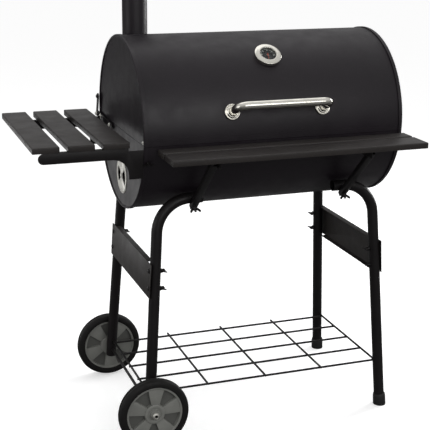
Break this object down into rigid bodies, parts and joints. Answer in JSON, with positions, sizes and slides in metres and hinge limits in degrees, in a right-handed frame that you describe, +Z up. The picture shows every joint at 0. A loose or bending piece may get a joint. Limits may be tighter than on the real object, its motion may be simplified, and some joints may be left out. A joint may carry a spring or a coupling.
{
  "type": "barrel charcoal grill",
  "caption": "Drum charcoal grill on four tube legs with two wheels, hinged lid with handle, gauge and chimney, side and front slat shelves, air vents and a wire bottom rack.",
  "frame": {"origin": "centre of the overall box, on the surface the grill stands on", "axes": "+X along the drum to the end without the side shelf, +Y to the back (the hinge side), +Z up"},
  "size_m": [0.995, 0.6348, 1.2683],
  "materials": {
    "drum_paint": "black heat-resistant satin powder coat, fine grain",
    "shelf_paint": "black satin powder coat on folded sheet",
    "frame_paint": "black semi-gloss powder coat on tube and strip",
    "bright_metal": "polished stainless and chrome plate",
    "zinc": "bright zinc plate",
    "grate_enamel": "black enamelled wire",
    "needle_paint": "matt red paint",
    "clear_glass": "clear",
    "tyre_plastic": "moulded, matt",
    "hub_plastic": "moulded grey, satin",
    "foot_plastic": "moulded, matt"
  },
  "bodies": {
    "frame": {"axle": "frame_paint", "axle_nut_front": "zinc", "axle_nut_rear": "zinc", "body_end_left": "drum_paint", "body_end_right": "drum_paint", "body_shell": "drum_paint", "charcoal_grate": "grate_enamel", "foot_front": "foot_plastic", "foot_rear": "foot_plastic", "front_slat_inner": "shelf_paint", "front_slat_outer": "shelf_paint", "grate_rail_front": "frame_paint", "grate_rail_rear": "frame_paint", "hinge_body_left": "frame_paint", "hinge_body_right": "frame_paint", "hinge_pin_left": "zinc", "hinge_pin_right": "zinc", "leg_front_left": "frame_paint", "leg_front_right": "frame_paint", "leg_rear_left": "frame_paint", "leg_rear_right": "frame_paint", "shelf_arm_left": "frame_paint", "shelf_arm_right": "frame_paint", "shelf_strut_left": "frame_paint", "shelf_strut_right": "frame_paint", "side_bracket_front": "frame_paint", "side_bracket_rear": "frame_paint", "side_panel_left": "shelf_paint", "side_panel_right": "shelf_paint", "side_slat_1": "shelf_paint", "side_slat_2": "shelf_paint", "side_slat_3": "shelf_paint", "vent_rivet_left": "zinc", "vent_rivet_right": "zinc", "wire_rack": "frame_paint"},
    "lid": {"lid_shell": "drum_paint", "lid_end_left": "drum_paint", "lid_end_right": "drum_paint", "hinge_lid_left": "frame_paint", "hinge_lid_right": "frame_paint", "handle_tube": "bright_metal", "handle_rosette_left": "bright_metal", "handle_rosette_right": "bright_metal", "gauge_case": "bright_metal", "gauge_glass": "clear_glass", "gauge_stem": "zinc", "chimney_tube": "drum_paint", "chimney_flange": "drum_paint", "stack_pivot": "frame_paint"},
    "chimney_cap": {"stack_cap": "drum_paint"},
    "needle": {"gauge_needle": "needle_paint"},
    "vent_left": {"vent_disc_left": "zinc"},
    "vent_right": {"vent_disc_right": "zinc"},
    "wheel_front": {"tyre_front": "tyre_plastic", "hub_front": "hub_plastic"},
    "wheel_rear": {"tyre_rear": "tyre_plastic", "hub_rear": "hub_plastic"},
    "grate_left": {"cooking_grate_left": "grate_enamel"},
    "grate_right": {"cooking_grate_right": "grate_enamel"}
  },
  "joints": [
    {"name": "lid_hinge", "type": "hinge", "parent": "frame", "child": "lid", "pos_m": [0.1318, 0.28551, 0.8037], "axis": [-1, 0, 0], "range_deg": [0, 95]},
    {"name": "chimney_cap_turn", "type": "hinge", "parent": "lid", "child": "chimney_cap", "pos_m": [-0.1134, 0.14941, 1.26425], "axis": [0, 0, 1], "range_deg": [0, 110]},
    {"name": "needle_turn", "type": "hinge", "parent": "lid", "child": "needle", "pos_m": [0.1318, -0.09574, 1.007], "axis": [0, -0.6198, 0.7848], "range_deg": [-270, 0]},
    {"name": "vent_left_turn", "type": "hinge", "parent": "frame", "child": "vent_left", "pos_m": [-0.2205, 0.04941, 0.6792], "axis": [1, 0, 0], "range_deg": [0, 90]},
    {"name": "vent_right_turn", "type": "hinge", "parent": "frame", "child": "vent_right", "pos_m": [0.4841, 0.04941, 0.6792], "axis": [1, 0, 0], "range_deg": [0, 90]},
    {"name": "wheel_front_spin", "type": "hinge", "parent": "frame", "child": "wheel_front", "pos_m": [-0.20751, -0.19076, 0.0946], "axis": [0, 1, 0], "continuous": true},
    {"name": "wheel_rear_spin", "type": "hinge", "parent": "frame", "child": "wheel_rear", "pos_m": [-0.20751, 0.28959, 0.0946], "axis": [0, 1, 0], "continuous": true},
    {"name": "grate_left_lift", "type": "slide", "parent": "frame", "child": "grate_left", "axis": [0, 0, 1], "range_m": [0, 0.06]},
    {"name": "grate_right_lift", "type": "slide", "parent": "frame", "child": "grate_right", "axis": [0, 0, 1], "range_m": [0, 0.06]}
  ]
}
